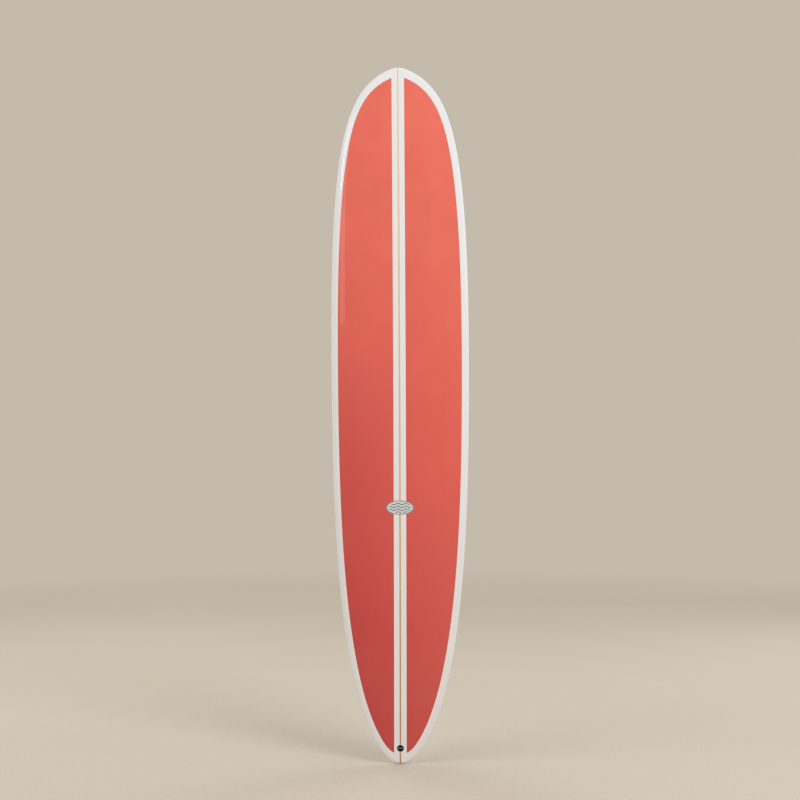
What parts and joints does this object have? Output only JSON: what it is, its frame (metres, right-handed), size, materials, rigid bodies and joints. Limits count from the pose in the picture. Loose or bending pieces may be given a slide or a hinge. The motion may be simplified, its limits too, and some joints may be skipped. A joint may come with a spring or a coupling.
{
  "type": "longboard surfboard",
  "caption": "Longboard surfboard with two colour panels, a clear centre stripe over a wood stringer, a leash plug and a single fin in a slotted box.",
  "frame": {"origin": "the tail tip, where an upright rack's cradle holds the board", "axes": "+Z from tail to nose, parallel to the flat of the bottom; +Y out of the bottom, the fin's side; the deck faces -Y; X across the board"},
  "size_m": [0.5799, 0.3071, 2.8953],
  "materials": {
    "foam": "closed-cell foam",
    "stringer_wood": "planed basswood",
    "clear_glass": "clear laminate over white foam, polished",
    "coral_coat": "pigmented resin, polished",
    "clear_coat": "clear resin over white foam, polished",
    "decal_paper": "printed tissue under resin",
    "black_plastic": "moulded",
    "stainless_steel": "drawn",
    "resin": "cast resin",
    "box_plastic": "moulded",
    "fin_laminate": "fibreglass laminate, polished",
    "brass_pin": "machined"
  },
  "bodies": {
    "board": {"foam_blank_left": "foam", "foam_blank_right": "foam", "stringer": "stringer_wood", "bottom_glass": "clear_glass", "deck_glass": "clear_glass", "deck_panel_left": "coral_coat", "deck_panel_right": "coral_coat", "deck_stripe": "clear_coat", "deck_decal": "decal_paper", "leash_plug_cup": "black_plastic", "leash_plug_bar": "stainless_steel", "leash_plug_bed": "resin", "fin_box": "box_plastic", "fin_box_bed": "resin"},
    "fin_set": {"fin": "fin_laminate", "fin_pin": "brass_pin"},
    "screw": {"fin_screw": "stainless_steel"},
    "plate": {"fin_plate": "stainless_steel"}
  },
  "joints": [
    {"name": "fin_slide", "type": "slide", "parent": "board", "child": "fin_set", "axis": [0, 0.1076, 0.9942], "range_m": [-0.03, 0.03]},
    {"name": "plate_travel", "type": "slide", "parent": "fin_set", "child": "plate", "axis": [0, -0.9942, 0.1076], "range_m": [0, 0.00159]},
    {"name": "screw_turn", "type": "hinge", "parent": "fin_set", "child": "screw", "pos_m": [0, 0.05024, 0.38002], "axis": [0, 0.9942, -0.1076], "range_deg": [0, 721]}
  ],
  "couplings": [
    {"joint": "screw_turn", "follows": "plate_travel", "rad_per_m": 7915.8}
  ]
}
